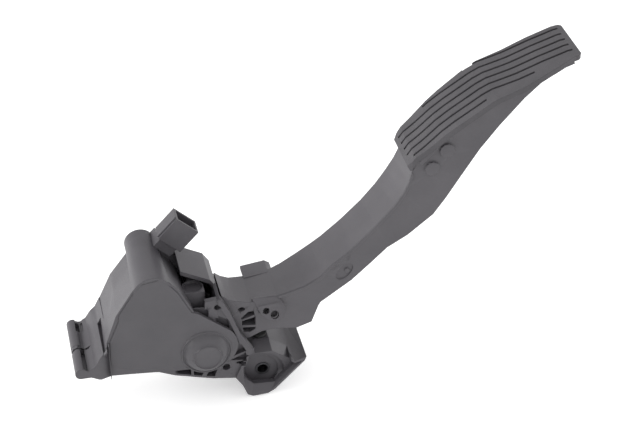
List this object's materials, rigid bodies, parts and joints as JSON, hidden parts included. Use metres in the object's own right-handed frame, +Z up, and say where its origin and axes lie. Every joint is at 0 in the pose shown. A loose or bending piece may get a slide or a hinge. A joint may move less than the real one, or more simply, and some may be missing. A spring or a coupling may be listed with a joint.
{
  "type": "accelerator pedal module",
  "caption": "Drive-by-wire accelerator pedal: a sprung moulded arm with a ribbed pad in a housing with an angle sensor, a connector and a bolt foot.",
  "frame": {"origin": "on the axis of the foot bolt hole, in the rear mounting plane", "axes": "+X towards the pad, +Y along the pivot and out of the mounting plane, +Z up; pressing the pad turns the arm from Z towards X"},
  "size_m": [0.3036, 0.0525, 0.2162],
  "materials": {
    "housing": "glass-filled nylon, charcoal grey, fine texture",
    "cover": "glass-filled nylon, charcoal grey, smooth",
    "arm": "glass-filled nylon, charcoal grey, fine texture",
    "pad": "soft-touch thermoplastic, fine grain",
    "sleeve": "zinc plated",
    "steel": "ground",
    "bush": "acetal, natural",
    "spring": "phosphated wire",
    "bumper": "matt",
    "magnet": "bonded ferrite",
    "board": "glass fibre laminate with green solder mask",
    "chip": "moulded package",
    "terminal": "tin plated bronze"
  },
  "bodies": {
    "module": {"housing": "housing", "side_cover": "cover", "sensor_cover": "housing", "mounting_sleeve": "sleeve", "pivot_bush_near": "bush", "pivot_bush_far": "bush", "return_spring_outer": "spring", "return_spring_inner": "spring", "spring_cap": "bush", "friction_shoe": "bush", "friction_spring": "spring", "idle_stop_bumper": "bumper", "full_stop_bumper": "bumper", "sensor_board": "board", "hall_chip_1": "chip", "hall_chip_2": "chip", "sensor_seal": "bumper", "sensor_cover_screws": "steel", "terminal_1": "terminal", "terminal_2": "terminal", "terminal_3": "terminal", "terminal_4": "terminal", "terminal_5": "terminal", "terminal_6": "terminal"},
    "pedal": {"pedal_arm": "arm", "pad_tread": "pad", "pivot_shaft": "steel", "magnet_carrier": "bush", "magnet": "magnet", "spring_seat": "bush"}
  },
  "joints": [
    {"name": "pedal_turn", "type": "hinge", "parent": "module", "child": "pedal", "pos_m": [-0.036, -0.026, 0.0285], "axis": [0, 1, 0], "range_deg": [0, 15], "stiffness_Nm_per_rad": 10, "springref_deg": -22.92, "deforming": ["return_spring_outer", "return_spring_inner"]}
  ]
}
